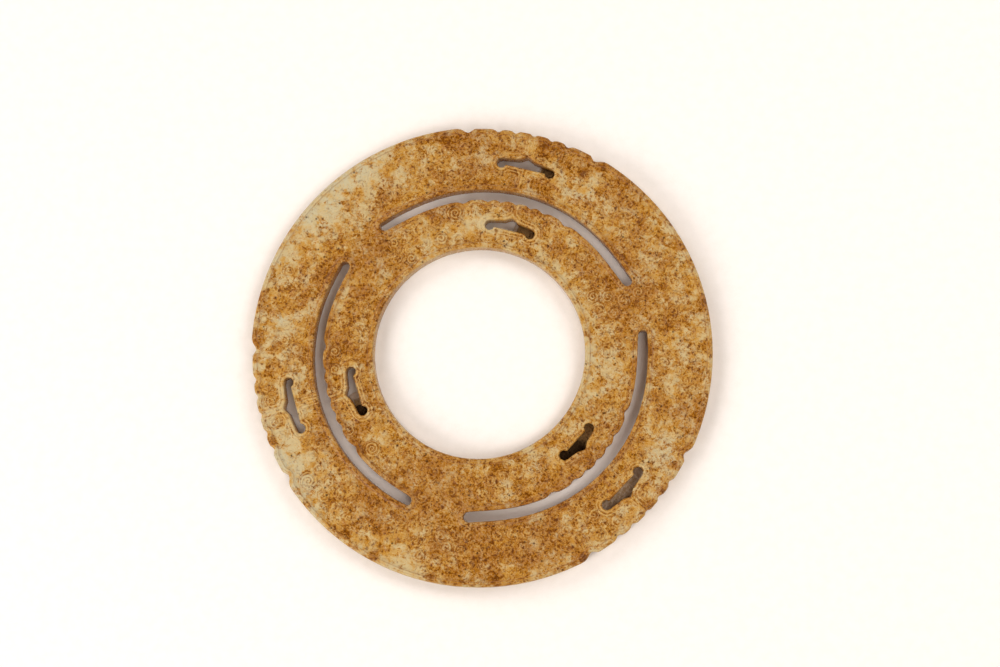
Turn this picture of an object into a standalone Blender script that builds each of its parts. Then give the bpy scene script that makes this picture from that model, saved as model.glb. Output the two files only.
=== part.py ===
"""A flat jade disc carved in openwork, lying on its underside.

An outer and an inner ring are cut from one plate and stay joined by three bridges. Between two
bridges runs an arc slot, and midway along it each ring carries a pair of confronted dragon
heads that share one bracket-shaped mouth, pierced through the stone. The rings' edges are
scalloped along the heads, a raised border follows every edge, and the dragons' bodies are
covered with round bosses. All raised forms end at the plate's own top face, because they were
left standing when the ground round them was cut down.

Lengths are in metres, angles in radians. The origin is the centre of the underside.
"""
import math
from typing import NamedTuple

import bmesh
import bpy
from mathutils.geometry import delaunay_2d_cdt

MM = 0.001

# The plate
HOLE_RADIUS = 26.6 * MM
INNER_RING_WIDTH = 12.5 * MM
ARC_SLOT_WIDTH = 2.6 * MM
OUTER_RING_WIDTH = 16.3 * MM
THICKNESS = 4.5 * MM
BRIDGE_WIDTH = 11.8 * MM
FIRST_BRIDGE_ANGLE = math.radians(16.2)

# How far the rim wanders from a true circle, once and three times round
RIM_SWAY = 0.18 * MM
RIM_SWAY_ANGLE = math.radians(-20.0)
RIM_RIPPLE = 0.12 * MM

# Rounded edges: how far in from the edge each reaches, and how far it drops
RIM_ROUNDING = 0.8 * MM
HOLE_ROUNDING = 0.6 * MM
CUT_ROUNDING = 0.4 * MM
EDGE_DROP_SHARE = 0.7
SHARP_ANGLE = math.radians(35.0)

# Relief
GROUND_DEPTH = 0.35 * MM
BORDER_WIDTH = 0.9 * MM
LIP_WIDTH = 0.8 * MM
BOSS_PITCH = 3.8 * MM
BOSS_CLEARANCE = 0.9 * MM
COLLAR_GAP = 1.3 * MM
COLLAR_LINE = 0.5 * MM
SHORTEST_COLLAR = 3 * COLLAR_LINE
COLLAR_SLACK = 0.25 * MM
FACE_SHARE = 0.55

# Heads: from the line between the two faces to the notch behind each head
OUTER_HEAD_LENGTH = 17.2 * MM
INNER_HEAD_LENGTH = 13.6 * MM
OUTER_NOTCH_DEPTH = 1.3 * MM
INNER_NOTCH_DEPTH = 0.7 * MM
CURL_RADIUS = 1.4 * MM
CURL_SIDES = 6

# Mouths: two drilled corners joined by a slit that peaks in the middle
DRILL_RADIUS = 1.3 * MM
SLIT_WIDTH = 2.0 * MM
MOUTH_PEAK = 0.9 * MM
PEAK_HALF_WIDTH = 1.7 * MM
PEAK_SHOULDER_SHARE = 0.75
CORNER_DROOP = 0.6 * MM
OUTER_MOUTH_SPAN = 12.2 * MM
INNER_MOUTH_SPAN = 10.3 * MM
OUTER_MOUTH_SHARE = 0.47
INNER_MOUTH_SHARE = 0.52

# Spacing of the points along edges, in the plain stretches and along the heads, and how far
# the closer spacing goes past a head, or at most along its slot
PLAIN_STEP = 3.2 * MM
HEAD_STEP = 0.66 * MM
HOLE_STEP = 2.08 * MM
RELIEF_COARSER = 2.0
HEAD_STRETCH = 1.25
SLOT_STRETCH = 0.45
END_POINTS = 5
CORNER_POINTS = 7
SAME_POINT = 1e-7

JADE_COLOUR = (0.46, 0.27, 0.10, 1.0)
JADE_ROUGHNESS = 0.42

SLOT_INNER_RADIUS = HOLE_RADIUS + INNER_RING_WIDTH
SLOT_RADIUS = SLOT_INNER_RADIUS + ARC_SLOT_WIDTH / 2
SLOT_OUTER_RADIUS = SLOT_INNER_RADIUS + ARC_SLOT_WIDTH
RIM_RADIUS = SLOT_OUTER_RADIUS + OUTER_RING_WIDTH
GROUND_HEIGHT = THICKNESS - GROUND_DEPTH

# Each scallop along a head's edge: its place as a share of the head's length, its depth as a
# share of the notch's, and its half width as a share of the head's length
SCALLOPS = (
    (0.00, 0.75, 0.055),
    (0.28, 0.80, 0.060),
    (0.54, 0.85, 0.070),
    (1.00, 1.00, 0.085),
)
LOBE_SETBACK = 0.3
NOTCH_FADE = 0.3
CURL_SHARES = (0.17, 0.42, 0.77)

# How suddenly an arc slot flicks out at its ends
FLICK_POWER = 8


class Sector(NamedTuple):
    """What the hand-cut thirds of the disc have of their own; lengths are measured along or
    across the ring, as departures from the regular layout."""
    slot_start: float
    slot_end: float
    slot_shift: float
    slot_lean: float
    slot_bow: float
    slot_flick: float
    outer_heads: float
    inner_heads: float
    outer_lift: float
    inner_lift: float
    outer_reach: float
    inner_reach: float


SECTORS = (
    Sector(-0.7 * MM, -0.3 * MM, 0.0 * MM, -0.39 * MM, -0.51 * MM, 0.90 * MM,
           -0.4 * MM, -0.2 * MM, 0.0 * MM, 0.0 * MM, 0.3 * MM, 0.2 * MM),
    Sector(0.4 * MM, 1.3 * MM, 0.3 * MM, 0.18 * MM, -0.37 * MM, 0.45 * MM,
           -0.4 * MM, 0.8 * MM, -0.3 * MM, 0.0 * MM, 0.0 * MM, 0.1 * MM),
    Sector(0.0 * MM, 0.3 * MM, 1.1 * MM, 0.12 * MM, -1.31 * MM, 0.95 * MM,
           0.1 * MM, 0.8 * MM, 0.7 * MM, 0.9 * MM, -0.4 * MM, -0.5 * MM),
)
SECTOR_ANGLE = math.tau / len(SECTORS)


def place(radius, angle):
    return (radius * math.cos(angle), radius * math.sin(angle))


def sector_start(index):
    return FIRST_BRIDGE_ANGLE + SECTOR_ANGLE * index


def heads_angle(index, outer):
    """The line between the two faces of a pair of heads."""
    slip = SECTORS[index].outer_heads / RIM_RADIUS
    if not outer:
        slip = SECTORS[index].inner_heads / SLOT_INNER_RADIUS
    return sector_start(index) + SECTOR_ANGLE / 2 + slip


def scallop(share, setback):
    """How deep a head's edge is cut back at a share of the head's length, from 0 to 1."""
    depth = setback if share < SCALLOPS[-1][0] else 0.0
    for centre, deepest, half_width in SCALLOPS:
        depth = max(depth, deepest * math.exp(-((share - centre) / half_width) ** 2))
    return depth


def rim_radius(angle, depth=1.0):
    index = int((angle - FIRST_BRIDGE_ANGLE) // SECTOR_ANGLE) % len(SECTORS)
    turn = angle - heads_angle(index, True)
    turn = math.remainder(turn, math.tau)
    share = abs(turn) * RIM_RADIUS / OUTER_HEAD_LENGTH
    sway = RIM_SWAY * math.cos(angle - RIM_SWAY_ANGLE)
    ripple = RIM_RIPPLE * math.cos(len(SECTORS) * (angle - FIRST_BRIDGE_ANGLE))
    return RIM_RADIUS + sway + ripple - depth * OUTER_NOTCH_DEPTH * scallop(share, LOBE_SETBACK)


def steps_between(start, end, length_of_turn, step):
    """Angles from start up to, and without, end, about one step apart."""
    count = max(2, round(abs(end - start) * length_of_turn / step))
    return [start + (end - start) * i / count for i in range(count)]


def steps_round(first, count):
    """A full turn in equal steps."""
    return [first + math.tau * i / count for i in range(count)]


def rim_loop(inset=0.0, coarser=1.0):
    """The outline, or a line that follows it further in, where the notches are shallower."""
    head_turn = HEAD_STRETCH * OUTER_HEAD_LENGTH / RIM_RADIUS
    depth = max(0.0, 1.0 - NOTCH_FADE * inset / RIM_ROUNDING)
    points = []
    for index in range(len(SECTORS)):
        middle = heads_angle(index, True)
        following = heads_angle((index + 1) % len(SECTORS), True)
        if following < middle:
            following += math.tau
        stretches = (
            (middle - head_turn, middle + head_turn, HEAD_STEP),
            (middle + head_turn, following - head_turn, PLAIN_STEP),
        )
        for start, end, step in stretches:
            for angle in steps_between(start, end, RIM_RADIUS, step * coarser):
                points.append(place(rim_radius(angle, depth) - inset, angle))
    return points


def hole_loop(grow=0.0, coarser=1.0):
    count = round(math.tau * HOLE_RADIUS / (HOLE_STEP * coarser))
    return [place(HOLE_RADIUS + grow, angle) for angle in steps_round(0.0, count)]


def slot_ends(index):
    """The angles of the centres of an arc slot's round ends."""
    sector = SECTORS[index]
    margin = BRIDGE_WIDTH / 2 + ARC_SLOT_WIDTH / 2
    start = sector_start(index) + (margin + sector.slot_start) / SLOT_RADIUS
    end = sector_start(index) + SECTOR_ANGLE - (margin + sector.slot_end) / SLOT_RADIUS
    return start, end


def slot_line(index, angle):
    """Radius of an arc slot's middle line, which wanders a little and flicks out at its ends."""
    sector = SECTORS[index]
    start, end = slot_ends(index)
    along = (2 * angle - start - end) / (end - start)
    wander = sector.slot_lean * along + sector.slot_bow * along ** 2
    flick = sector.slot_flick * along ** FLICK_POWER
    return SLOT_RADIUS + sector.slot_shift + wander + flick


def arc_slot_loop(index, grow=0.0, coarser=1.0):
    """A long round-ended slot, straight-edged outside and scalloped inside along the heads."""
    start, end = slot_ends(index)
    half = ARC_SLOT_WIDTH / 2 + grow
    middle = heads_angle(index, False)
    head_turn = min(HEAD_STRETCH * INNER_HEAD_LENGTH / SLOT_INNER_RADIUS,
                    SLOT_STRETCH * (end - start))
    depth = max(0.0, 1.0 - NOTCH_FADE * grow / CUT_ROUNDING) * INNER_NOTCH_DEPTH
    points = []
    for angle in steps_between(start, end, SLOT_OUTER_RADIUS, PLAIN_STEP * coarser):
        points.append(place(slot_line(index, angle) + half, angle))
    points += round_end(slot_line(index, end), end, half, 0.0)
    inner_side = (
        (end, middle + head_turn, PLAIN_STEP),
        (middle + head_turn, middle - head_turn, HEAD_STEP),
        (middle - head_turn, start, PLAIN_STEP),
    )
    for first, last, step in inner_side:
        for angle in steps_between(first, last, SLOT_INNER_RADIUS, step * coarser):
            share = abs(angle - middle) * SLOT_INNER_RADIUS / INNER_HEAD_LENGTH
            points.append(place(slot_line(index, angle) - half - depth * scallop(share, 0.0), angle))
    points += round_end(slot_line(index, start), start, half, math.pi)
    return points


def round_end(radius, angle, half, facing):
    """Points round a slot's end, from its outer side when facing is 0, from its inner side
    when facing is a half turn, ending one step before the other side."""
    centre = place(radius, angle)
    points = []
    first = 1 if facing == 0.0 else 0
    for i in range(first, END_POINTS):
        turn = angle + facing + math.pi * i / END_POINTS
        points.append((centre[0] + half * math.cos(turn), centre[1] + half * math.sin(turn)))
    return points


def mouth_place(index, outer):
    """Radius of a mouth's slit, the angle of its peak and half its span between the drillings."""
    sector = SECTORS[index]
    angle = heads_angle(index, outer)
    if outer:
        radius = SLOT_OUTER_RADIUS + OUTER_MOUTH_SHARE * OUTER_RING_WIDTH + sector.outer_lift
        return radius, angle, OUTER_MOUTH_SPAN / 2 + sector.outer_reach
    radius = HOLE_RADIUS + INNER_MOUTH_SHARE * INNER_RING_WIDTH + sector.inner_lift
    return radius, angle, INNER_MOUTH_SPAN / 2 + sector.inner_reach


def mouth_loop(index, outer, grow=0.0, corner_points=CORNER_POINTS):
    """The bracket-shaped opening: drilled corners that droop, a straight lower edge and an
    upper edge that rises to a peak between the two faces."""
    radius, angle, reach = mouth_place(index, outer)
    half = SLIT_WIDTH / 2 + grow
    drill = DRILL_RADIUS + grow
    sink = -CORNER_DROOP
    lower_turn = math.asin(max(-1.0, min(1.0, (-half - sink) / drill)))
    shape = []
    for side in (1, -1):
        corner = []
        for i in range(corner_points):
            turn = math.pi - lower_turn + (1.5 * math.pi + lower_turn) * i / (corner_points - 1)
            corner.append((side * (reach + drill * math.cos(turn)), sink + drill * math.sin(turn)))
        peak_side = [(side * PEAK_HALF_WIDTH, half),
                     (side * PEAK_HALF_WIDTH / 3, half + PEAK_SHOULDER_SHARE * MOUTH_PEAK)]
        if side == 1:
            shape += corner + peak_side + [(0.0, half + MOUTH_PEAK)]
        else:
            shape += peak_side[::-1] + corner[::-1]
    return [place(radius + up, angle - across / radius) for across, up in shape]


def collar_lines(index, outer):
    """The pairs of raised lines between the faces, from the mouth's peak to the edge above and
    from its lower edge to the edge below, each a list of points and its height."""
    radius, angle, _ = mouth_place(index, outer)
    lip = CUT_ROUNDING + LIP_WIDTH
    above = radius + SLIT_WIDTH / 2 + MOUTH_PEAK + lip + COLLAR_SLACK
    below = radius - SLIT_WIDTH / 2 - lip - COLLAR_SLACK
    border = CUT_ROUNDING + BORDER_WIDTH + COLLAR_SLACK
    if outer:
        top = rim_radius(angle) - RIM_ROUNDING - BORDER_WIDTH - OUTER_NOTCH_DEPTH / 2
        bottom = slot_line(index, angle) + ARC_SLOT_WIDTH / 2 + border
    else:
        top = slot_line(index, angle) - ARC_SLOT_WIDTH / 2 - border - INNER_NOTCH_DEPTH
        bottom = HOLE_RADIUS + HOLE_ROUNDING + BORDER_WIDTH + COLLAR_SLACK
    lines = []
    for low, high in ((bottom, below), (above, top)):
        if high - low < SHORTEST_COLLAR:
            continue
        for side in (-1, 1):
            crest = side * COLLAR_GAP / 2
            offsets = ((crest, THICKNESS), (crest - COLLAR_LINE, GROUND_HEIGHT),
                       (crest + COLLAR_LINE, GROUND_HEIGHT))
            for offset, height in offsets:
                taper = COLLAR_LINE if height == THICKNESS else 0.0
                ends = [place(r, angle + offset / r) for r in (low + taper, high - taper)]
                lines.append((ends, height))
    return lines


def distance_to_loop(point, loop):
    nearest = math.inf
    px, py = point
    for (ax, ay), (bx, by) in zip(loop, loop[1:] + loop[:1]):
        dx, dy = bx - ax, by - ay
        along = ((px - ax) * dx + (py - ay) * dy) / (dx * dx + dy * dy)
        along = min(1.0, max(0.0, along))
        nearest = min(nearest, math.hypot(px - ax - along * dx, py - ay - along * dy))
    return nearest


class Drawing:
    """The plan of the carved face: points with heights, and the lines and openings they make."""

    def __init__(self):
        self.points = []
        self.heights = []
        self.lines = []
        self.openings = []
        self.feet = []

    def add_points(self, points, height):
        first = len(self.points)
        self.points += points
        self.heights += [height] * len(points)
        return list(range(first, len(self.points)))

    def add_line(self, points, height):
        ids = self.add_points(points, height)
        self.lines += list(zip(ids, ids[1:]))

    def add_loop(self, points, height):
        ids = self.add_points(points, height)
        self.lines += list(zip(ids, ids[1:] + ids[:1]))
        return ids

    def add_edge(self, loop_at, rounding, band):
        """An edge of the stone: its outline, the crest of the raised band beside it and the
        foot where that band meets the ground. loop_at(distance, coarser) gives the lines."""
        outline = loop_at(0.0, 1.0)
        self.openings.append(self.add_loop(outline, THICKNESS - EDGE_DROP_SHARE * rounding))
        self.add_loop(loop_at(rounding, RELIEF_COARSER), THICKNESS)
        foot = loop_at(rounding + band, RELIEF_COARSER)
        self.add_loop(foot, GROUND_HEIGHT)
        self.feet.append(foot)

    def clear_of_edges(self, point, clearance):
        return all(distance_to_loop(point, foot) > clearance for foot in self.feet)


def on_ground(point, drawing):
    """Whether a point lies on the carved ground, inside the borders and outside the lips."""
    x, y = point
    radius = math.hypot(x, y)
    angle = math.atan2(y, x)
    if radius < HOLE_RADIUS + HOLE_ROUNDING + BORDER_WIDTH:
        return False
    if radius > rim_radius(angle) - RIM_ROUNDING - BORDER_WIDTH:
        return False
    index = int((angle - FIRST_BRIDGE_ANGLE) // SECTOR_ANGLE) % len(SECTORS)
    start, end = slot_ends(index)
    turn = start + (angle - start) % math.tau
    margin = ARC_SLOT_WIDTH / 2 + CUT_ROUNDING + BORDER_WIDTH
    if turn < end and abs(radius - slot_line(index, turn)) < margin:
        return False
    return drawing.clear_of_edges(point, BOSS_CLEARANCE)


def in_face(radius, angle):
    """Whether a place lies in the front part of a head, where no bosses stand."""
    outer = radius > SLOT_RADIUS
    length = OUTER_HEAD_LENGTH / RIM_RADIUS if outer else INNER_HEAD_LENGTH / SLOT_INNER_RADIUS
    for index in range(len(SECTORS)):
        turn = math.remainder(angle - heads_angle(index, outer), math.tau)
        if abs(turn) < FACE_SHARE * length:
            return True
    return False


def add_bosses(drawing):
    """Cover the bodies with bosses that stand shoulder to shoulder in staggered rows along the
    ring: a summit each, and a low point of the ground wherever three of them meet."""
    row_gap = BOSS_PITCH * math.sqrt(3) / 2
    rings = ((HOLE_RADIUS, SLOT_RADIUS), (SLOT_RADIUS, RIM_RADIUS))
    for low, high in rings:
        rows = max(1, round((high - low) / row_gap))
        middle = (low + high) / 2
        around = round(math.tau * middle / BOSS_PITCH)
        pitch_angle = math.tau / around
        for row in range(rows):
            radius = middle + (row - (rows - 1) / 2) * row_gap
            stagger = 0.5 * (row % 2)
            spots = (
                (radius, stagger, THICKNESS),
                (radius + row_gap / 3, stagger + 0.5, GROUND_HEIGHT),
                (radius + row_gap * 2 / 3, stagger, GROUND_HEIGHT),
            )
            for step in range(around):
                for spot_radius, shift, height in spots:
                    angle = FIRST_BRIDGE_ANGLE + (step + shift) * pitch_angle
                    point = place(spot_radius, angle)
                    if not in_face(spot_radius, angle) and on_ground(point, drawing):
                        drawing.add_points([point], height)


def add_curls(drawing, index, outer):
    """The round curls of the mane, one in each lobe of the scalloped edge."""
    angle = heads_angle(index, outer)
    length = OUTER_HEAD_LENGTH if outer else INNER_HEAD_LENGTH
    edge = RIM_RADIUS if outer else SLOT_INNER_RADIUS
    reach = (RIM_ROUNDING if outer else CUT_ROUNDING) + BORDER_WIDTH + CURL_RADIUS
    for side in (-1, 1):
        for share in CURL_SHARES:
            turn = angle + side * share * length / edge
            if outer:
                radius = rim_radius(turn, 0.5) - reach - OUTER_NOTCH_DEPTH / 2
            else:
                radius = slot_line(index, turn) - ARC_SLOT_WIDTH / 2 - reach - INNER_NOTCH_DEPTH / 2
            centre = place(radius, turn)
            if not drawing.clear_of_edges(centre, CURL_RADIUS):
                continue
            rim = []
            for side_turn in steps_round(turn, CURL_SIDES):
                rim.append((centre[0] + CURL_RADIUS * math.cos(side_turn),
                            centre[1] + CURL_RADIUS * math.sin(side_turn)))
            drawing.add_points(rim, GROUND_HEIGHT)
            drawing.add_points([centre], THICKNESS)
            drawing.feet.append(rim)


def draw_carved_face():
    drawing = Drawing()
    drawing.add_edge(rim_loop, RIM_ROUNDING, BORDER_WIDTH)
    drawing.add_edge(hole_loop, HOLE_ROUNDING, BORDER_WIDTH)
    for index in range(len(SECTORS)):
        drawing.add_edge(lambda grow, coarser, i=index: arc_slot_loop(i, grow, coarser),
                         CUT_ROUNDING, BORDER_WIDTH)
        for outer in (True, False):
            drawing.add_edge(
                lambda grow, coarser, i=index, o=outer:
                mouth_loop(i, o, grow, round(CORNER_POINTS / math.sqrt(coarser))),
                CUT_ROUNDING, LIP_WIDTH)
    for index in range(len(SECTORS)):
        for outer in (True, False):
            for ends, height in collar_lines(index, outer):
                drawing.add_line(ends, height)
            add_curls(drawing, index, outer)
    add_bosses(drawing)
    return drawing


def carve_disc(name):
    """Lay the carved face over its plan, draw its edges down to the underside and close it."""
    drawing = draw_carved_face()
    rim, *cuts = drawing.openings
    places, _, faces, point_ids, _, face_ids = delaunay_2d_cdt(
        drawing.points, drawing.lines, [rim] + cuts, 1, SAME_POINT)
    bm = bmesh.new()
    corners = []
    for spot, ids in zip(places, point_ids):
        height = drawing.heights[ids[0]] if ids else GROUND_HEIGHT
        corners.append(bm.verts.new((spot.x, spot.y, height)))
    for face, owners in zip(faces, face_ids):
        if owners == [0]:
            bm.faces.new([corners[i] for i in face])
    loose = [v for v in bm.verts if not v.link_faces]
    bmesh.ops.delete(bm, geom=loose, context="VERTS")

    edges = [e for e in bm.edges if e.is_boundary]
    walls = bmesh.ops.extrude_edge_only(bm, edges=edges)["geom"]
    lower = [g for g in walls if isinstance(g, bmesh.types.BMVert)]
    for vert in lower:
        vert.co.z = 0.0
    edges = [e for e in bm.edges if e.is_boundary]
    bmesh.ops.triangle_fill(bm, use_beauty=True, use_dissolve=False, edges=edges,
                            normal=(0.0, 0.0, -1.0))
    bmesh.ops.recalc_face_normals(bm, faces=bm.faces[:])

    mesh = bpy.data.meshes.new(name)
    bm.to_mesh(mesh)
    bm.free()
    mesh.shade_smooth()
    mesh.set_sharp_from_angle(angle=SHARP_ANGLE)
    disc = bpy.data.objects.new(name, mesh)
    bpy.context.scene.collection.objects.link(disc)
    return disc


def jade():
    material = bpy.data.materials.new("stained_jade")
    material.use_nodes = True
    shader = material.node_tree.nodes["Principled BSDF"]
    shader.inputs["Base Color"].default_value = JADE_COLOUR
    shader.inputs["Roughness"].default_value = JADE_ROUGHNESS
    shader.inputs["Metallic"].default_value = 0.0
    return material


for old in list(bpy.data.objects):
    bpy.data.objects.remove(old, do_unlink=True)

jade_disc = carve_disc("jade_disc")
jade_disc.data.materials.append(jade())
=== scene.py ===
import math

import bmesh
import bpy
import numpy as np
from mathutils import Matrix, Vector
from mathutils.kdtree import KDTree


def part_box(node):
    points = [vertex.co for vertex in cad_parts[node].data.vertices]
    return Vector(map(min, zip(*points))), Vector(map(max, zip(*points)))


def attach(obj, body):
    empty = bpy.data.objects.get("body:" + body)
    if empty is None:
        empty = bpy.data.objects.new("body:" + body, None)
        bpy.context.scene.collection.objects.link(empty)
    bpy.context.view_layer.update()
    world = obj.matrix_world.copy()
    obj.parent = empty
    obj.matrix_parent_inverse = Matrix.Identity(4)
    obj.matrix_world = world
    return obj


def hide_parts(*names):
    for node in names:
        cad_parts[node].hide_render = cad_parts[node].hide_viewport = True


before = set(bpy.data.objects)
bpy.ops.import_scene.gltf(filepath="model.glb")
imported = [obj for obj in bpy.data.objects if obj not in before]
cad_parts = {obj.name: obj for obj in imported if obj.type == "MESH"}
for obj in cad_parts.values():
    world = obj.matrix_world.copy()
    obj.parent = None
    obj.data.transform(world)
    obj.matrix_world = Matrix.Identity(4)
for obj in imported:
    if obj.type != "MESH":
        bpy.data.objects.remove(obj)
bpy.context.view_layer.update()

# The jade disc: one flat plate of nephrite, sawn and drilled right through for three arc slots
# and six bracket-shaped mouths, then carved on top and polished. The stone is pale celadon that
# burial has stained ochre and brown; nothing is fixed to it and it lies on its underside.
MM = 0.001
WELD = 0.001 * MM
SEAM_WELD = 0.01 * MM
FAR_AWAY = 1.0
ROUND_STEPS = 840
TOP_ROWS = 84
UNDERSIDE_ROWS = 12
OUTLINE_STEP = 0.08 * MM
RIM_ROUNDING = 1.0 * MM
HOLE_ROUNDING = 0.6 * MM
UNDER_ROUNDING = 0.4 * MM
SHARP_ANGLE = math.radians(50.0)
GROUND_DEPTH = 0.38 * MM
CARVING_FOOT = 1.1 * MM
CARVING_TOP = 0.2 * MM
BORDER_REACH = 1.25 * MM
SLOT_BORDER_LOSS = 0.25 * MM
LIP_REACH = 1.55 * MM
LIP_CREST = 1.2 * MM
LIP_BLEND = 0.6 * MM
FOOT_WIDTH = 0.5 * MM
BOSS_RADIUS = 1.75 * MM
BOSS_HEIGHT = 0.92
BOSS_OVERLAP = 0.2 * MM
CURL_CLEARANCE = 0.6 * BOSS_RADIUS
BOSS_SHIFT = 0.1 * MM
BOSS_LEAN = 0.25
SUMMIT_HEIGHT = 0.1 * MM
COLLAR_HALF_GAP = 1.15 * MM
INNER_COLLAR_HALF_GAP = 0.5 * COLLAR_HALF_GAP
UNEVENNESS = 0.03 * MM
UNEVEN_SIZE = 3.1 * MM
WEAR_DEPTH = 0.05 * MM
WEAR_SIZE = 17.0 * MM
# Curls that wear and stain have left clear: x, y and radius in millimetres
CLEAR_CURLS = ((-17.0, 24.0, 1.3), (-9.5, 29.0, 1.8), (-6.0, 35.5, 2.4), (-42.5, -32.0, 2.5),
               (-26.5, -24.0, 2.2), (-32.5, -19.5, 1.5), (-36.2, 0.5, 1.5), (-36.2, -4.0, 1.5))
# Mouths whose lips are still clear, given the same way
CLEAR_LIPS = ((-46.5, -13.5, 8.5), (-31.0, -10.5, 7.0), (9.5, 31.5, 7.5))
# Depths below the plate's top, and how far a cut's wall stands back there, in millimetres
CUT_ROUNDING = ((0.42, 0.0), (0.26, 0.03), (0.13, 0.10), (0.04, 0.22), (0.0, 0.40))


def placed(data, name):
    """A new object in the scene for a mesh, a lamp or a lens, at the origin."""
    made = bpy.data.objects.new(name, data)
    bpy.context.scene.collection.objects.link(made)
    return made


def object_of(bm, name):
    """A new object in the scene for a bmesh, which is used up."""
    mesh = bpy.data.meshes.new(name)
    bm.to_mesh(mesh)
    bm.free()
    return placed(mesh, name)


def applied(made):
    """The mesh that an object's modifiers leave; the object is used up."""
    mesh = bpy.data.meshes.new_from_object(made.evaluated_get(bpy.context.evaluated_depsgraph_get()))
    bpy.data.objects.remove(made)
    return mesh


def cut_with(body, tool, operation):
    """The mesh of a body less a tool, or of what the two share; both objects are used up."""
    cut = body.modifiers.new("cut", "BOOLEAN")
    cut.operation = operation
    cut.solver = "EXACT"
    cut.object = tool
    mesh = applied(body)
    bpy.data.objects.remove(tool)
    return mesh


def coordinates(mesh):
    """The mesh's points as rows of x, y and z."""
    co = np.zeros(len(mesh.vertices) * 3)
    mesh.vertices.foreach_get("co", co)
    return co.reshape(-1, 3)


def welded(node):
    """A copy of a CAD node's triangles, joined where they meet."""
    bm = bmesh.new()
    bm.from_mesh(node.data)
    bmesh.ops.remove_doubles(bm, verts=bm.verts, dist=WELD)
    return bm


def cut_outlines(node, height):
    """The closed outlines of the CAD plate at a height, as arrays of x and y."""
    bm = welded(node)
    geometry = bm.verts[:] + bm.edges[:] + bm.faces[:]
    section = bmesh.ops.bisect_plane(bm, geom=geometry, plane_co=(0, 0, height), plane_no=(0, 0, 1),
                                     clear_inner=True, clear_outer=True)["geom_cut"]
    left = dict.fromkeys(item for item in section if isinstance(item, bmesh.types.BMVert))
    outlines = []
    while left:
        vert = next(iter(left))
        loop = []
        while vert:
            del left[vert]
            loop.append(vert.co.xy)
            vert = next((e.other_vert(vert) for e in vert.link_edges if e.other_vert(vert) in left), None)
        outlines.append(np.array(loop))
    bm.free()
    return outlines


def turn_area(outline):
    """Signed area, positive for an outline that runs counterclockwise."""
    x, y = outline.T
    return 0.5 * float(np.sum(x * np.roll(y, -1) - np.roll(x, -1) * y))


def in_order(outline):
    """The outline, run counterclockwise."""
    return outline if turn_area(outline) > 0 else outline[::-1]


def radius_at(outline, angles):
    """Radius of an outline that goes once round the origin, at any angles."""
    own = np.arctan2(outline[:, 1], outline[:, 0])
    order = np.argsort(own)
    return np.interp(angles, own[order], np.hypot(*outline.T)[order], period=math.tau)


def tree_of(places):
    """A search tree of places in plan: each starts with its x and y."""
    tree = KDTree(len(places))
    for index, (x, y, *_) in enumerate(places):
        tree.insert((x, y, 0.0), index)
    tree.balance()
    return tree


def gap_to(outlines, points):
    """Distance in plan from each point to the nearest of the outlines."""
    spots = []
    for outline in outlines:
        for start, end in zip(outline, np.roll(outline, -1, axis=0)):
            count = max(1, math.ceil(np.hypot(*(end - start)) / OUTLINE_STEP))
            spots += [start + (end - start) * i / count for i in range(count)]
    tree = tree_of(spots)
    return np.array([tree.find((x, y, 0.0))[2] for x, y in points])


def boss_summits(node):
    """The tops of the CAD plate's bosses and curls: points that stand above all round them."""
    bm = welded(node)
    summits = []
    for vert in bm.verts:
        around = [edge.other_vert(vert).co.z for edge in vert.link_edges]
        if vert.co.z > max(around) + SUMMIT_HEIGHT:
            summits.append(vert.co.xy.copy())
    bm.free()
    return summits


def curls_and_bosses(node):
    """Each curl and boss: its x, y and radius, how it leans, and which way its scroll turns. The
    clear curls stand in place of the bosses that they cover."""
    chance = np.random.default_rng(11)
    clear = [(x * MM, y * MM, reach * MM, math.atan2(y, x), 1.0) for x, y, reach in CLEAR_CURLS]
    bosses = []
    for x, y in boss_summits(node):
        if any(math.hypot(x - cx, y - cy) < reach + CURL_CLEARANCE for cx, cy, reach, *_ in clear):
            continue
        lean = math.atan2(y, x) + chance.choice((0.0, 0.5, 1.0, 1.5)) * math.pi
        lean += chance.normal(0.0, BOSS_LEAN)
        x += chance.normal(0.0, BOSS_SHIFT)
        y += chance.normal(0.0, BOSS_SHIFT)
        reach = BOSS_RADIUS * chance.uniform(0.9, 1.05)
        bosses.append((x, y, reach, lean, chance.choice((-1.0, 1.0))))
    return clear + bosses


def quarter(centre, reach, start, steps):
    """Points of a quarter turn, clockwise from a start angle, for a cross-section's corner."""
    turns = [math.radians(start - 90.0 * i / steps) for i in range(steps + 1)]
    return [(centre[0] + reach[0] * math.cos(t), centre[1] + reach[1] * math.sin(t)) for t in turns]


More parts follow.
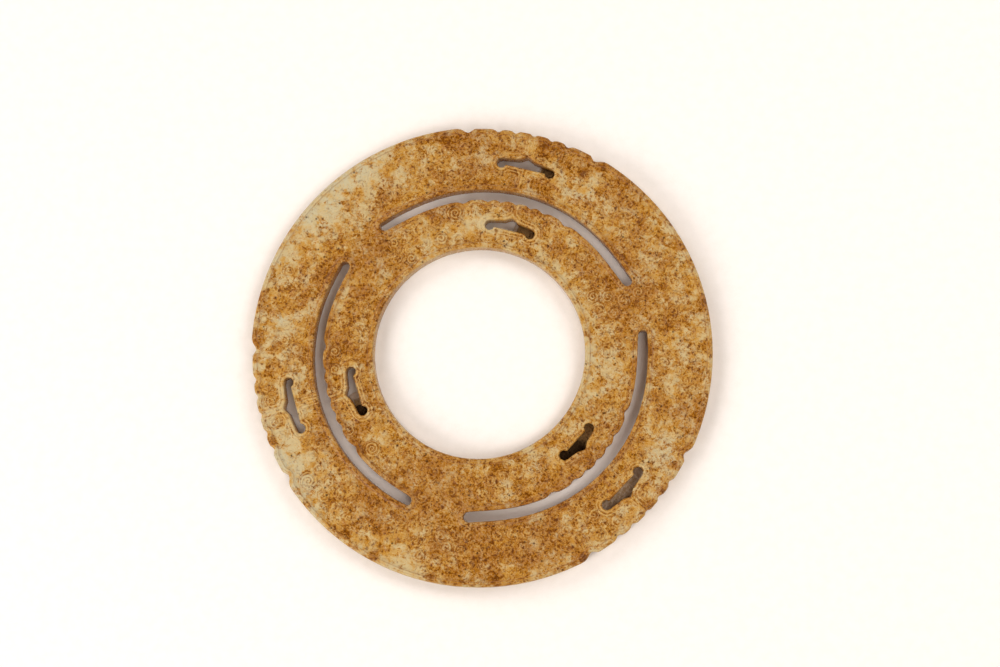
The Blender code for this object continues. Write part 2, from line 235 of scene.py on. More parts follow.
def plate_blank(hole, rim, thickness):
    """The uncarved ring: its cross-section turned once round."""
    lower = (HOLE_ROUNDING, UNDER_ROUNDING)
    hole_side, rim_side = hole + HOLE_ROUNDING, rim - HOLE_ROUNDING
    section = quarter((hole_side, UNDER_ROUNDING), lower, 270, 3)
    section.append((hole, thickness / 2))
    section += quarter((hole_side, thickness - HOLE_ROUNDING), (HOLE_ROUNDING, HOLE_ROUNDING), 180, 4)
    top = np.linspace(hole_side, rim - RIM_ROUNDING, TOP_ROWS)
    section += [(float(r), thickness) for r in top[1:-1]]
    section += quarter((rim - RIM_ROUNDING, thickness - RIM_ROUNDING), (RIM_ROUNDING, RIM_ROUNDING), 90, 5)
    section.append((rim, thickness / 2))
    section += quarter((rim_side, UNDER_ROUNDING), lower, 0, 3)
    under = np.linspace(rim_side, hole_side, UNDERSIDE_ROWS)
    section += [(float(r), 0.0) for r in under[1:-1]]

    ring = bmesh.new()
    corners = [ring.verts.new((r, 0.0, z)) for r, z in section]
    for a, b in zip(corners, corners[1:] + corners[:1]):
        ring.edges.new((a, b))
    blank = object_of(ring, "blank")
    turn = blank.modifiers.new("turn", "SCREW")
    turn.axis = "Z"
    turn.angle = math.tau
    turn.steps = turn.render_steps = ROUND_STEPS
    turn.use_merge_vertices = True
    turn.merge_threshold = SEAM_WELD
    return applied(blank)


def flared_cutter(bm, outline, thickness):
    """A closed prism on an outline, wider where it leaves the plate above and below."""
    outline = in_order(outline)
    run = np.roll(outline, -1, axis=0) - np.roll(outline, 1, axis=0)
    outward = np.stack([run[:, 1], -run[:, 0]], axis=1) / np.hypot(*run.T)[:, None]
    above = [(thickness - drop * MM, flare * MM) for drop, flare in CUT_ROUNDING]
    below = [(drop * MM, flare * MM) for drop, flare in CUT_ROUNDING[::-1]]
    widest = CUT_ROUNDING[-1][1] * MM
    levels = [(-MM, widest)] + below + above + [(thickness + MM, widest)]
    verts = [bm.verts.new((*point, levels[0][0])) for point in outline + outward * levels[0][1]]
    edges = [bm.edges.new(pair) for pair in zip(verts, verts[1:] + verts[:1])]
    bm.faces.new(verts[::-1])
    for height, flare in levels[1:]:
        grown = bmesh.ops.extrude_edge_only(bm, edges=edges)["geom"]
        ring = [item for item in grown if isinstance(item, bmesh.types.BMVert)]
        edges = [item for item in grown if isinstance(item, bmesh.types.BMEdge) and item.is_boundary]
        for vert, point in zip(ring, outline + outward * flare):
            vert.co = (*point, height)
    bmesh.ops.edgeloop_fill(bm, edges=edges)


def cut_and_turned(hole, rim, cuts, thickness):
    """The ring with its rim and hole in shape and all its openings sawn through."""
    hole_radius, rim_radius = np.hypot(*hole.T).mean(), np.hypot(*rim.T).mean()
    ring = plate_blank(hole_radius, rim_radius, thickness)
    co = coordinates(ring)
    turn, radius = np.arctan2(co[:, 1], co[:, 0]), np.hypot(co[:, 0], co[:, 1])
    share = (radius - hole_radius) / (rim_radius - hole_radius)
    inner, outer = radius_at(hole, turn), radius_at(rim, turn)
    radius = inner + share * (outer - inner)
    co[:, 0], co[:, 1] = radius * np.cos(turn), radius * np.sin(turn)
    ring.vertices.foreach_set("co", co.ravel())

    bm = bmesh.new()
    for outline in cuts:
        flared_cutter(bm, outline, thickness)
    bmesh.ops.recalc_face_normals(bm, faces=bm.faces)
    return cut_with(placed(ring, "ring"), object_of(bm, "cutter"), "DIFFERENCE")


def rise(low, high, value):
    """A smooth step from 0 at low to 1 at high; it falls where low is the greater."""
    share = np.clip((value - low) / (high - low), 0.0, 1.0)
    return share * share * (3.0 - 2.0 * share)


def smooth_least(a, b, blend):
    """The lesser of two fields, rounded where they cross."""
    share = np.clip(0.5 + 0.5 * (b - a) / blend, 0.0, 1.0)
    return b + (a - b) * share - blend * share * (1.0 - share)


def unevenness(points, size, seed):
    """Gentle random swells, from about -1 to 1, with hollows about size apart."""
    chance = np.random.default_rng(seed)
    swells = 14
    total = np.zeros(len(points))
    for _ in range(swells):
        heading = chance.uniform(0.0, math.tau)
        pace = math.tau / (size * chance.uniform(0.6, 1.7))
        along = points[:, 0] * math.cos(heading) + points[:, 1] * math.sin(heading)
        total += np.sin(along * pace + chance.uniform(0.0, math.tau))
    return total / (swells / 2)


def head_frame(points, mouths):
    """Each point's place about the line between the two faces of its nearest pair of heads:
    its distance to the side, its height above the mouth, and whether it is on the outer ring."""
    centres = np.array([mouth.mean(axis=0) for mouth in mouths])
    radii, turns = np.hypot(*centres.T), np.arctan2(centres[:, 1], centres[:, 0])
    radius, turn = np.hypot(*points.T), np.arctan2(points[:, 1], points[:, 0])
    side = np.full(len(points), np.inf)
    up = np.zeros(len(points))
    outer = radius > np.mean(radii)
    for mouth_radius, mouth_turn in zip(radii, turns):
        same_ring = (mouth_radius > np.mean(radii)) == outer
        swing = np.abs((turn - mouth_turn + math.pi) % math.tau - math.pi) * mouth_radius
        nearer = same_ring & (swing < side)
        side[nearer] = swing[nearer]
        up[nearer] = radius[nearer] - mouth_radius
    return side, up, outer


def carve(mesh, outlines, swirls, thickness):
    """Lower the ground between the raised borders, lips, collars, curls and bosses. Gives each
    point's distance from the plate's borders and from the heads' lips, in millimetres."""
    mouths, slots, hole, rim = outlines
    co = coordinates(mesh)
    plan = co[:, :2]
    border = np.minimum(gap_to([hole, rim], plan), gap_to(slots, plan) + SLOT_BORDER_LOSS)
    side, up, outer = head_frame(plan, mouths)
    strip = side - np.where(outer, COLLAR_HALF_GAP, INNER_COLLAR_HALF_GAP) + LIP_CREST
    strip[(up < 0) & ~outer] = FAR_AWAY
    lip = smooth_least(gap_to(mouths, plan), strip, LIP_BLEND)
    tree = tree_of(swirls)
    swirl = np.zeros(len(co))
    for index, (x, y) in enumerate(plan):
        _, nearest, away = tree.find((x, y, 0.0))
        swirl[index] = 1.0 - (away / swirls[nearest][2]) ** 3
    swirl = np.clip(swirl, 0.0, 1.0) * rise(LIP_REACH - BOSS_OVERLAP, LIP_REACH + FOOT_WIDTH, lip)
    raised = np.maximum(1.0 - rise(BORDER_REACH, BORDER_REACH + FOOT_WIDTH, border),
                        1.0 - rise(LIP_REACH, LIP_REACH + FOOT_WIDTH, lip))
    raised = np.maximum(raised, BOSS_HEIGHT * swirl)
    worn = 0.5 + 0.5 * unevenness(plan, WEAR_SIZE, seed=3)
    depth = GROUND_DEPTH * (1.0 - raised) + WEAR_DEPTH * np.clip(worn, 0.0, 1.0)
    depth += UNEVENNESS * (1.0 + unevenness(plan, UNEVEN_SIZE, seed=5))
    near_top = rise(thickness - CARVING_FOOT, thickness - CARVING_TOP, co[:, 2])
    co[:, 2] -= depth * near_top
    mesh.vertices.foreach_set("co", co.ravel())
    return border / MM, lip / MM


def swirl_frames(mesh, swirls):
    """For every corner of every face, its place within the curl or boss nearest to the face:
    across and along it, and its radius, in millimetres."""
    tree = tree_of(swirls)
    frames = np.zeros((len(mesh.loops), 3))
    for face in mesh.polygons:
        nearest = tree.find((*face.center.xy, 0.0))[1]
        cx, cy, radius, lean, hand = swirls[nearest]
        c, s = math.cos(lean), math.sin(lean)
        for loop, vert in zip(face.loop_indices, face.vertices):
            dx, dy = mesh.vertices[vert].co.x - cx, mesh.vertices[vert].co.y - cy
            frames[loop] = ((c * dx + s * dy) / MM, hand * (c * dy - s * dx) / MM, radius / MM)
    return frames


# Rings round the middle that are barer of stain than the rest, or, for the slots, darker, with stain
# and with painted shade beside the slot edges: radius and half width in millimetres
RIM_RING = (58.0, 4.5)
SLOT_STAIN_AND_SHADE_RING = (40.5, 3.5)
HOLE_RING = (27.0, 4.0)
LIP_RING_WIDTH = 1.6
BAREST_RIM_ANGLE = 3.05
# Places where the stain is thin, or, with a negative share, heaviest: x, y and reach in
# millimetres and how much
STAIN_PATCHES = (
    (-37.5, 41.5, 6.5, 0.15), (-30.0, 46.5, 5.0, 0.12), (-43.5, 35.0, 6.0, 0.13),
    (-21.0, 47.0, 7.0, 0.09), (-38.0, 30.0, 8.0, 0.08), (-51.0, -2.0, 6.0, 0.10),
    (-46.0, -27.0, 8.0, 0.17), (-49.0, -17.0, 6.0, 0.05), (-39.0, -22.0, 7.0, -0.12),
    (-42.0, -38.0, 8.0, 0.08), (-26.0, -38.0, 8.0, -0.07), (-20.0, -51.0, 6.0, 0.10),
    (-2.0, -49.0, 9.0, -0.04), (17.0, -50.0, 8.0, -0.08), (46.5, -24.5, 6.0, 0.21),
    (53.0, -17.0, 6.0, -0.15), (47.0, -7.0, 6.0, 0.11), (17.0, -27.0, 4.0, 0.09),
    (25.0, -27.0, 6.0, -0.09), (29.0, -12.0, 8.0, 0.05), (30.0, -1.0, 6.0, 0.06),
    (34.0, 19.0, 8.0, -0.08), (37.0, 41.0, 6.0, -0.14), (26.0, 40.0, 6.0, 0.20),
    (28.0, 49.0, 6.0, -0.11), (10.0, 47.0, 6.0, -0.05), (0.0, 55.0, 9.0, -0.06),
    (0.0, 34.0, 4.0, 0.12), (-8.0, 36.0, 4.0, -0.20), (-10.0, 29.0, 8.0, 0.10),
    (-26.0, 26.0, 9.0, -0.06), (-50.0, 16.0, 8.0, -0.05), (-51.0, 22.0, 4.0, 0.15),
    (-51.0, 10.0, 4.0, 0.11), (-11.0, -32.0, 8.0, -0.10),
    (45.6, -34.8, 1.3, -0.38), (42.2, -38.6, 1.6, -0.22), (51.4, -25.4, 1.5, -0.30),
    (26.0, -51.0, 1.3, -0.38), (4.5, -56.0, 1.2, -0.35), (-55.8, 14.5, 3.0, -0.20),
    (-56.0, 4.0, 2.4, -0.22), (-9.5, 55.8, 2.2, -0.22), (-51.8, -22.2, 1.4, -0.35),
    (-33.0, -45.0, 1.3, -0.35), (-25.8, -50.4, 1.2, -0.35), (16.5, 53.0, 1.5, -0.30),
    (21.5, 51.8, 1.4, -0.30), (31.0, 46.8, 1.4, -0.26), (26.5, 45.2, 1.0, -0.55),
    (56.0, 12.2, 1.5, -0.30), (-49.5, 8.5, 2.4, 0.14), (-45.0, -5.0, 2.6, 0.14),
)


def bareness(mesh, lip):
    """How bare of stain the stone is at each point: barest on the left of the rim and the right
    of the hole, darkest along the slots, with stain and painted shade, and more or less in the patches
    above."""
    x, y, _ = coordinates(mesh).T / MM
    turn, radius = np.arctan2(y, x), np.hypot(x, y)
    rim, slots, hole = (np.exp(-((radius - middle) / width) ** 2)
                        for middle, width in (RIM_RING, SLOT_STAIN_AND_SHADE_RING, HOLE_RING))
    total = rim * (0.03 + 0.09 * rise(0.0, 0.8, np.cos(turn - BAREST_RIM_ANGLE)))
    # The slots' ring darkens the stone beside them: partly stain, partly painted shade
    total += hole * 0.10 * rise(0.2, 0.9, np.cos(turn)) - slots * 0.05
    total += 0.03 * np.exp(-(lip / LIP_RING_WIDTH) ** 2)
    for patch_x, patch_y, reach, share in STAIN_PATCHES:
        total += share * np.exp(-((x - patch_x) ** 2 + (y - patch_y) ** 2) / reach ** 2)
    return total


def clearness(mesh):
    """1 on the curls and 0.7 on the lips that are still clear, 0 away from them."""
    x, y, _ = coordinates(mesh).T / MM

    def away(places):
        return np.min([np.hypot(x - cx, y - cy) / reach for cx, cy, reach in places], axis=0)

    return np.maximum(rise(1.3, 1.0, away(CLEAR_CURLS)), 0.7 * rise(1.2, 0.8, away(CLEAR_LIPS)))


def leave_field(mesh, name, kind, domain, values):
    """Keep values on the mesh, under a name that its material reads."""
    field = mesh.attributes.new(name, kind, domain)
    part = "vector" if kind == "FLOAT_VECTOR" else "value"
    field.data.foreach_set(part, np.asarray(values, dtype=np.float32).ravel())


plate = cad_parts["jade_disc"]
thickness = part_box("jade_disc")[1].z
outlines = sorted((in_order(outline) for outline in cut_outlines(plate, thickness / 2)), key=turn_area)
mouths, slots, (hole, rim) = outlines[:6], outlines[6:9], outlines[9:]
swirls = curls_and_bosses(plate)
mesh = cut_and_turned(hole, rim, mouths + slots, thickness)
border, lip = carve(mesh, (mouths, slots, hole, rim), swirls, thickness)
leave_field(mesh, "swirl", "FLOAT_VECTOR", "CORNER", swirl_frames(mesh, swirls))
leave_field(mesh, "border", "FLOAT", "POINT", border)
leave_field(mesh, "lip", "FLOAT", "POINT", lip)
leave_field(mesh, "bare", "FLOAT", "POINT", bareness(mesh, lip))
leave_field(mesh, "clear", "FLOAT", "POINT", clearness(mesh))
mesh.name = "jade"
mesh.shade_smooth()
mesh.set_sharp_from_angle(angle=SHARP_ANGLE)
jade = placed(mesh, "jade")


class Shade:
    """One output of a material's nodes, so that node maths reads as plain expressions."""

    def __init__(self, tree, socket=None):
        self.tree = tree
        self.socket = socket

    def node(self, kind, settings=None, inputs=None, output=0):
        """A new node of a kind, with its settings and its inputs by name or place."""
        made = self.tree.nodes.new(kind)
        for name, value in (settings or {}).items():
            setattr(made, name, value)
        for name, value in (inputs or {}).items():
            if isinstance(value, Shade):
                self.tree.links.new(value.socket, made.inputs[name])
            else:
                made.inputs[name].default_value = value
        return Shade(self.tree, made.outputs[output])

    def maths(self, operation, *values):
        return self.node("ShaderNodeMath", {"operation": operation}, dict(enumerate(values)))

    def __add__(self, other):
        return self.maths("ADD", self, other)

    def __sub__(self, other):
        return self.maths("SUBTRACT", self, other)

    def __rsub__(self, other):
        return self.maths("SUBTRACT", other, self)

    def __mul__(self, other):
        return self.maths("MULTIPLY", self, other)

    def __truediv__(self, other):
        return self.maths("DIVIDE", self, other)

    def __pow__(self, other):
        return self.maths("POWER", self, other)

    __radd__ = __add__
    __rmul__ = __mul__

    def size(self):
        return self.maths("ABSOLUTE", self)

    def most(self, other):
        return self.maths("MAXIMUM", self, other)

    def rise(self, low, high):
        """A smooth step from 0 at low to 1 at high; it falls where low is the greater."""
        return self.node("ShaderNodeMapRange", {"interpolation_type": "SMOOTHSTEP"},
                         {"Value": self, "From Min": low, "From Max": high})

    def lines(self, places):
        """Two lines where this field equals a place, each with its place, width and strength."""
        one, other = ((self - place).size().rise(width / 2, 0.0) * strength
                      for place, width, strength in places)
        return one.most(other)

    def between(self, first, second):
        """The first colour where this field is 0, the second where it is 1."""
        return self.node("ShaderNodeMix", {"data_type": "RGBA"}, {0: self, 6: first, 7: second}, 2)

    def under(self, factor, colour):
        """This colour, covered by another one as far as the factor says."""
        return factor.between(self, colour)

    def noise(self, scale, detail=3.0, roughness=0.5, distortion=0.0):
        """Cloudy noise from 0 to 1 at this place, with about scale clouds in a millimetre."""
        return self.node("ShaderNodeTexNoise", None,
                         {"Vector": self, "Scale": scale, "Detail": detail,
                          "Roughness": roughness, "Distortion": distortion})

    def cells(self, scale):
        """How far the nearest of many scattered points is, and three random values of its own."""
        away = self.node("ShaderNodeTexVoronoi", None, {"Vector": self, "Scale": scale})
        return away, Shade(self.tree, away.socket.node.outputs["Color"]).parts()

    def shifted(self, x, y, z):
        return self.node("ShaderNodeVectorMath", {"operation": "ADD"}, {0: self, 1: (x, y, z)})

    def parts(self):
        split = self.node("ShaderNodeSeparateXYZ", None, {0: self}).socket.node
        return [Shade(self.tree, split.outputs[i]) for i in range(3)]

    def field(self, name):
        """A value that was left on the mesh."""
        return self.node("ShaderNodeAttribute", {"attribute_name": name}, None, 2)

    def facing_up(self):
        """1 where the surface faces up, 0 on a wall, -1 underneath."""
        return self.node("ShaderNodeNewGeometry", None, None, 1).parts()[2]


def new_material(name):
    """A new material, a start for its nodes, and the place on the piece in millimetres."""
    material = bpy.data.materials.new(name)
    material.use_nodes = True
    start = Shade(material.node_tree)
    where = start.node("ShaderNodeTexCoord", None, None, 3)
    where = where.node("ShaderNodeVectorMath", {"operation": "SCALE"}, {0: where, "Scale": 1.0 / MM})
    return material, start, where


def finished(material, paint, rough, relief, **settings):
    """Lead the colour, the roughness and the relief in metres to the material's shader, and set
    its other inputs."""
    shader = material.node_tree.nodes["Principled BSDF"]
    bump = relief.node("ShaderNodeBump", None, {"Strength": 1.0, "Distance": 1.0, "Height": relief})
    for name, shade in (("Base Color", paint), ("Roughness", rough), ("Normal", bump)):
        material.node_tree.links.new(shade.socket, shader.inputs[name])
    for name, value in settings.items():
        shader.inputs[name.replace("_", " ")].default_value = value
    return material


# How much of each channel of the photographed tones is the stone's own colour, and not the light
STONE_SHARE = (0.71, 0.70, 0.66)


def colour(*tone):
    """The stone's own colour for a tone given as 0 to 255 display values."""
    def light(value):
        return value / 12.92 if value <= 0.04045 else ((value + 0.055) / 1.055) ** 2.4
    return (*(share * light(value / 255.0) for share, value in zip(STONE_SHARE, tone)), 1.0)


CELADON = colour(213, 205, 174)
PALE = colour(218, 198, 151)
TAN = colour(211, 168, 94)
GOLD = colour(204, 144, 40)
RUST = colour(163, 98, 14)
BROWN = colour(108, 60, 4)
DARK = colour(108, 57, 2)
PIT = colour(58, 30, 8)
# Cream: pale spots in the stone, and a painted highlight on the carved crests
CREAM_AND_HIGHLIGHT = colour(234, 200, 136)
DUSK = colour(168, 120, 84)
WALL = colour(182, 132, 76)
# Fine lines beside the mouths, on the crests of the lips and along the borders, in millimetres:
# how far from the edge, how wide, and how strong
LIP_LINES = ((0.85, 0.42, 1.0), (1.62, 0.42, 0.7))
LIP_CRESTS = ((0.45, 0.45, 1.0), (1.24, 0.36, 1.0))
BORDER_LINES = ((1.35, 0.4, 1.0), (0.7, 0.3, 0.6))
COIL_PITCH = 0.82
SCROLL_RIM = 0.15
GROOVE_DEPTH = 0.12 * MM
CREST_HEIGHT = 0.05 * MM
POLISH_SWELL = 0.05 * MM
GRAIN_HEIGHT = 0.015 * MM
PIT_DEPTH = 0.12 * MM
# Flecks: how many to a millimetre, and where their pattern starts
FLECKS = ((0.75, 0.0), (1.15, 40.0), (2.1, 80.0))
FLECK_BEND = (1.6, 1.6, 0.0)


def stain_load(where, bare):
    """How heavily the stone is stained, 0 on the whole, and the patchy part of it alone."""
    broad = where.noise(0.07, 3.0, 0.6)
    patchy = where.shifted(31.0, 7.0, 0.0).noise(0.22, 4.0, 0.62, 0.7)
    ragged = where.shifted(70.0, 20.0, 0.0).noise(0.34, 3.0, 0.6, 0.8).rise(0.34, 0.56)
    return (broad - 0.5) * 0.3 + (patchy - 0.5) * 0.6 - bare * (ragged * 0.8 + 0.2), patchy


def scroll_lines(out, turn, reach, field):
    """The scroll cut into each curl and boss: its groove, with a ring round it, and its crest."""
    coil = (field.maths("FRACT", out / COIL_PITCH - turn) - 0.5).size()
    inside = (out / reach).rise(1.0, 1.0 - SCROLL_RIM) * field
    ring = (out / reach - 1.0).size().rise(SCROLL_RIM, 0.0) * field
    return (coil.rise(0.3, 0.08) * inside).most(ring * 0.8), coil.rise(0.32, 0.46) * inside


def scattered_flecks(where):
    """Flecks of three sizes, bent out of round, and the halos of the two larger sizes."""
    stir = where.node("ShaderNodeTexNoise", None, {"Vector": where, "Scale": 1.1, "Detail": 1.0}, 1)
    bent = stir.node("ShaderNodeVectorMath", {"operation": "MULTIPLY_ADD"},
                     {0: stir, 1: FLECK_BEND, 2: where})
    flecks = []
    halos = []
    for scale, place in FLECKS:
        away, (chance, _, _) = bent.shifted(place, 0.0, 0.0).cells(scale)
        near = away / (chance * 0.5 + 0.5)
        flecks.append(near.rise(0.34, 0.16) * chance.rise(0.25, 0.5))
        halos.append(near.rise(0.75, 0.25) * chance.rise(0.1, 0.4))
    return flecks[0].most(flecks[1]).most(flecks[2] * 0.7), halos[0].most(halos[1])


def stained_jade():
    material, start, where = new_material("stained jade")
    border, lip, bare, clear = (start.field(name) for name in ("border", "lip", "bare", "clear"))
    across, along, reach = start.node("ShaderNodeAttribute", {"attribute_name": "swirl"}, None, 1).parts()
    facing = start.facing_up()
    carved = facing.rise(-0.2, 0.3)
    load, patchy = stain_load(where, bare)
    cloud = where.shifted(3.0, 57.0, 0.0).noise(0.36, 5.0, 0.62)
    fine = where.shifted(8.0, 17.0, 0.0).noise(1.9, 3.0, 0.6)
    grain = where.shifted(13.0, 5.0, 0.0).noise(4.4, 2.0, 0.6)

    # Fine carved lines, and how crisp wear has left them
    crisp = where.shifted(5.0, 90.0, 0.0).noise(0.15, 3.0).rise(0.42, 0.78).most(clear)
    waver = where.noise(0.9, 2.0) - 0.5
    out = (across * across + along * along) ** 0.5 + waver * 0.3
    turn = start.maths("ARCTAN2", along, across) / math.tau
    scrolls, coil_crests = scroll_lines(out, turn, reach, lip.rise(1.6, 1.9) * border.rise(1.1, 1.4))
    lip_place = lip + waver * 0.15
    lips, lip_crests = lip_place.lines(LIP_LINES), lip_place.lines(LIP_CRESTS)
    borders = (border + waver * 0.2).lines(BORDER_LINES)
    groove = (scrolls * (crisp * 0.9 + 0.1)).most(lips * (crisp * 0.8 + 0.15))
    groove = groove.most(borders * (crisp * 0.6 + 0.25)) * carved
    crest = (coil_crests * crisp * 0.7).most(lip_crests * (crisp * 0.9 + 0.1)) * carved

    # The stone, from the pale unstained body to the rust that has soaked in
    body = cloud + load * 0.8
    paint = body.rise(0.34, 0.54).between(PALE, TAN)
    paint = paint.under(bare.rise(0.08, 0.26) * cloud.rise(0.62, 0.4), CELADON)
    paint = paint.under(body.rise(0.48, 0.66) * 0.5, GOLD)
    paint = paint.under((load + patchy * 0.3).rise(0.12, 0.28) * 0.6, DUSK)
    paint = paint.under(bare.rise(0.0, -0.07) * 0.3, DUSK)
    seep = where.shifted(44.0, 12.0, 0.0).noise(1.35, 5.0, 0.72, 0.7)
    arcs = start.node("ShaderNodeCombineXYZ", None, {0: out * 1.7, 1: turn * 3.5, 2: reach * 37.0})
    arcs = arcs.noise(1.0, 2.0, 0.6)
    soak = (seep - 0.5) * 1.1 + (arcs - 0.5) * 0.4 + load * 0.72 + (cloud - 0.5) * 0.22 + 0.495
    soak = soak + (grain - 0.5) * 0.2 + groove * 0.05 - crest * 0.06
    paint = paint.under(soak.rise(0.46, 0.55) * 0.75, GOLD)
    paint = paint.under(soak.rise(0.54, 0.61) * 0.9, RUST)
    paint = paint.under(soak.rise(0.60, 0.67) * 0.95, BROWN)
    paint = paint.under(fine.rise(0.52, 0.70) * (soak.rise(0.6, 0.45) * 0.3 + 0.28), CREAM_AND_HIGHLIGHT)

    # Brown flecks with rusty halos and thin strokes, rust in the grooves, darker border lines, a painted
    # highlight on the carved crests, and a few dark pits
    fleck, halo = scattered_flecks(where)
    gate = (load + 0.5).rise(0.32, 0.55) * 0.8 + 0.15
    fleck = fleck * (gate * 0.7 + 0.3)
    wisp = where.shifted(60.0, 3.0, 0.0).noise(0.55, 3.0, 0.6, 1.2)
    stroke = (wisp - 0.5).size().rise(0.035, 0.008) * fine.rise(0.42, 0.58)
    away, (_, chance, _) = where.shifted(9.0, 9.0, 2.0).cells(0.5)
    pit = away.rise(0.16, 0.08) * chance.rise(0.5, 0.6)
    paint = paint.under(halo * gate * 0.45, RUST)
    paint = paint.under(stroke * gate * 0.85, BROWN)
    paint = paint.under(groove * fine.rise(0.35, 0.6) * gate.most(clear * 0.8) * 0.7, RUST)
    paint = paint.under(borders * carved * 0.45, DUSK)
    # Cream on the crests of the coils and lips is a painted highlight, where light would catch the ridges
    paint = paint.under(crest * fine.rise(0.72, 0.5) * 0.75, CREAM_AND_HIGHLIGHT)
    paint = paint.under(fleck, DARK)
    paint = paint.under(pit * 0.75, PIT)

    # Edges lightened, partly by wear and partly as painted light shining through the stone there, and the
    # walls of the openings and the rim
    paint = paint.under(border.rise(0.3, 0.05) * cloud.rise(0.3, 0.5) * 0.35, PALE)
    paint = paint.under(facing.size().rise(0.55, 0.2) * (cloud.rise(0.6, 0.45) * 0.4 + 0.1), WALL)

    relief = crest * CREST_HEIGHT + fine * POLISH_SWELL + grain * GRAIN_HEIGHT
    relief = relief - groove * GROOVE_DEPTH - pit * PIT_DEPTH
    rough = fine * 0.16 + 0.18 + fleck * 0.2 + groove * 0.15
    return finished(material, paint, rough, relief, IOR=1.6, Specular_IOR_Level=0.1,
                    Subsurface_Weight=0.05, Subsurface_Radius=(1.0, 0.7, 0.35),
                    Subsurface_Scale=0.5 * MM)


jade.data.materials.append(stained_jade())
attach(jade, "root")
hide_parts("jade_disc")

# Burial earth and painted shade: dark heaps in the mouths, partly the soil that filled them and partly
# painted shade deep inside them. They are packed in the drilled corners, all along the two at the lower
# right, and cling to the walls near the underside.
EARTH_FLOOR = 0.02 * MM
EARTH_FALL = 0.06 * MM
EARTH_GRID = 0.18 * MM
EARTH_CEILING = 0.8
CLOD_SIZE = 0.9 * MM
CLOD_SWELL = 0.22
# Each heap: x, y, how far it reaches and how high it stands in millimetres, and how dark it is
EARTH_AND_SHADE_HEAPS = (
    (18.6, 45.3, 4.2, 2.0, 0.75), (7.4, 47.3, 0.8, 1.5, 0.75), (13.8, 30.0, 6.0, 1.7, 0.66),
    (-29.6, -14.6, 2.8, 2.2, 1.00), (-30.4, -12.6, 4.0, 0.6, 0.60), (35.5, -34.3, 16.0, 0.8, 0.34),
    (21.8, -24.7, 7.5, 1.6, 1.00), (26.8, -19.6, 6.5, 1.3, 0.62),
)
# From a heap's thin edge to its thickest part; the darkening is partly soil and partly painted shade
DUST_AND_SHADE = (0.72, 0.62, 0.52, 1.0)
LOAM_AND_SHADE = (0.30, 0.18, 0.07, 1.0)
BLACK_LOAM_AND_SHADE = (0.04, 0.02, 0.006, 1.0)


def mound(x, y, heap):
    """How high one heap stands at a place, in metres: a rounded mound with a long foot."""
    heap_x, heap_y, reach, height, _ = heap
    away = np.hypot(x / MM - heap_x, y / MM - heap_y) / reach
    return height * MM * np.clip(1.0 - away ** 2, 0.0, 1.0) ** 1.5


def mouth_prism(mouth):
    """A closed prism that fills a mouth from just above the floor."""
    bm = bmesh.new()
    base = bm.faces.new([bm.verts.new((x, y, EARTH_FLOOR)) for x, y in in_order(mouth)][::-1])
    grown = bmesh.ops.extrude_face_region(bm, geom=[base])["geom"]
    raised = [item for item in grown if isinstance(item, bmesh.types.BMVert)]
    bmesh.ops.translate(bm, verts=raised, vec=(0.0, 0.0, EARTH_CEILING * thickness))
    bmesh.ops.recalc_face_normals(bm, faces=bm.faces)
    return object_of(bm, "mouth prism")


def soil_and_shade_bed(mouth):
    """A block under a mouth whose top is the lie of the soil and painted shade: below the floor where none
    is.
    """
    middle = (mouth.min(axis=0) + mouth.max(axis=0)) / 2
    half = float(np.ptp(mouth, axis=0).max()) / 2 + MM
    bm = bmesh.new()
    cells = round(2.0 * half / EARTH_GRID)
    bmesh.ops.create_grid(bm, x_segments=cells, y_segments=cells, size=half)
    bmesh.ops.translate(bm, verts=bm.verts, vec=(*middle, 0.0))
    top = bm.verts[:]
    spots = np.array([vert.co.xy for vert in top])
    heights = np.max([mound(*spots.T, heap) for heap in EARTH_AND_SHADE_HEAPS], axis=0)
    heights *= 1.0 + CLOD_SWELL * unevenness(spots, CLOD_SIZE, seed=8)
    grown = bmesh.ops.extrude_face_region(bm, geom=bm.faces[:])["geom"]
    for vert, height in zip(top, heights):
        vert.co.z = height - EARTH_FALL
    for item in grown:
        if isinstance(item, bmesh.types.BMVert):
            item.co.z = -thickness
    bmesh.ops.recalc_face_normals(bm, faces=bm.faces)
    return object_of(bm, "soil and shade bed")


def packed_earth_and_shade():
    material, start, where = new_material("burial earth and painted shade")
    clods = where.noise(1.4, 5.0, 0.65)
    crumbs = where.shifted(9.0, 2.0, 0.0).noise(6.0, 3.0, 0.6)
    depth = where.parts()[2].rise(0.0, 0.8) * 0.95 + 0.05
    depth = depth.most(start.facing_up().rise(-0.2, -0.6))
    # Darker with each heap's darkness and height and on faces turned down: partly soil, partly painted
    # shade
    tone = start.field("darkness") * depth + (clods - 0.5) * 0.35 + (crumbs - 0.5) * 0.2
    paint = tone.rise(0.1, 0.45).between(DUST_AND_SHADE, LOAM_AND_SHADE)
    paint = paint.under(tone.rise(0.55, 0.92), BLACK_LOAM_AND_SHADE)
    relief = clods * (0.25 * MM) + crumbs * (0.08 * MM)
    return finished(material, paint, crumbs * 0.2 + 0.8, relief, Specular_IOR_Level=0.2)


heaps = bmesh.new()
for mouth in mouths:
    heaps.from_mesh(cut_with(soil_and_shade_bed(mouth), mouth_prism(mouth), "INTERSECT"))
darkness = heaps.verts.layers.float.new("darkness")
for vert in heaps.verts:
    shares = [(mound(vert.co.x, vert.co.y, heap) / MM) ** 2 + 1e-6 for heap in EARTH_AND_SHADE_HEAPS]
    vert[darkness] = sum(share * heap[-1] for share, heap in zip(shares, EARTH_AND_SHADE_HEAPS)) / sum(shares)
earth = object_of(heaps, "burial_earth_and_painted_shade")
earth.data.shade_smooth()
earth.data.materials.append(packed_earth_and_shade())
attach(earth, "root")

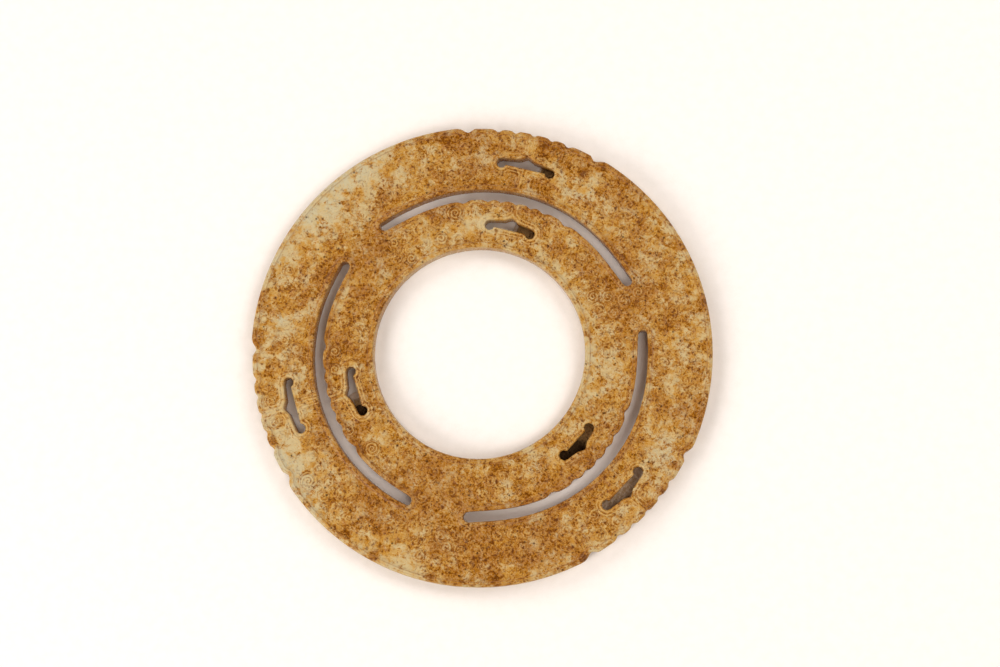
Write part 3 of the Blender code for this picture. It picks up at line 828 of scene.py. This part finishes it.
# The floor: one large sheet of plain white paper or board, with a faint grain of pulp and fibre.
# The disc lies loose on it, and the light burns it out to white.
FLOOR_HALF_WIDTH = 0.6
FLOOR_DROP = 0.02 * MM
PAPER_PULP = (0.87, 0.85, 0.84, 1.0)
PAPER_SHADE = (0.83, 0.81, 0.79, 1.0)


def white_paper():
    material, _, where = new_material("white paper")
    pulp = where.noise(0.35, 4.0, 0.6)
    fibre = where.noise(2.6, 4.0, 0.65, 2.0)
    paint = (pulp * 0.5 + fibre * 0.5).rise(0.38, 0.68).between(PAPER_PULP, PAPER_SHADE)
    relief = fibre * (0.03 * MM) + pulp * (0.04 * MM)
    return finished(material, paint, fibre * 0.15 + 0.8, relief)


sheet = bmesh.new()
bmesh.ops.create_grid(sheet, x_segments=1, y_segments=1, size=FLOOR_HALF_WIDTH)
floor = object_of(sheet, "floor")
floor.location.z = -FLOOR_DROP
floor.data.materials.append(white_paper())

# The light: four large round soft boxes on stands about the table, none of them overhead, where
# the camera is, and a pale room that is darkest straight above.
STUDIO_TINT = (1.0, 0.92, 0.85)
BOX_DISTANCE = 0.75
ROOM_SIDES = 0.61
ROOM_ZENITH = 0.045
# Each box: azimuth from the right and elevation in degrees, width in metres, and power in watts
SOFT_BOXES = {
    "lower left box": (219.0, 33.0, 0.44, 3.2),
    "left box": (134.0, 40.0, 0.44, 2.05),
    "right box": (22.0, 44.0, 0.42, 2.25),
    "lower right box": (312.0, 60.0, 0.36, 1.4),
}

for name, (azimuth, elevation, width, power) in SOFT_BOXES.items():
    lamp = bpy.data.lights.new(name, "AREA")
    lamp.shape = "DISK"
    lamp.size = width
    lamp.energy = power
    lamp.color = STUDIO_TINT
    turn, climb = math.radians(azimuth), math.radians(elevation)
    towards = Vector((math.cos(turn) * math.cos(climb), math.sin(turn) * math.cos(climb), math.sin(climb)))
    box = placed(lamp, name)
    box.location = BOX_DISTANCE * towards
    box.rotation_euler = towards.to_track_quat("Z", "Y").to_euler()

world = bpy.data.worlds.new("room")
bpy.context.scene.world = world
world.use_nodes = True
height = Shade(world.node_tree).node("ShaderNodeTexCoord").parts()[2]
room_light = height.rise(0.94, 0.55) * ROOM_SIDES + ROOM_ZENITH
backdrop = world.node_tree.nodes["Background"]
backdrop.inputs["Color"].default_value = (*STUDIO_TINT, 1.0)
world.node_tree.links.new(room_light.socket, backdrop.inputs["Strength"])

# The camera: on a stand 38 cm up, nearly overhead, a little below and to the right of the disc's
# middle, with a 55 mm lens on a 36 mm frame.
CAMERA_PLACE = (0.029017, -0.044392, 0.382547)
CAMERA_TILT = (math.radians(7.375), math.radians(3.576), 0.0)
lens = bpy.data.cameras.new("camera")
lens.lens = 55.0
lens.sensor_width = 36.0
camera = placed(lens, "camera")
camera.location = CAMERA_PLACE
camera.rotation_euler = CAMERA_TILT
bpy.context.scene.camera = camera
bpy.context.scene.view_settings.view_transform = "Standard"
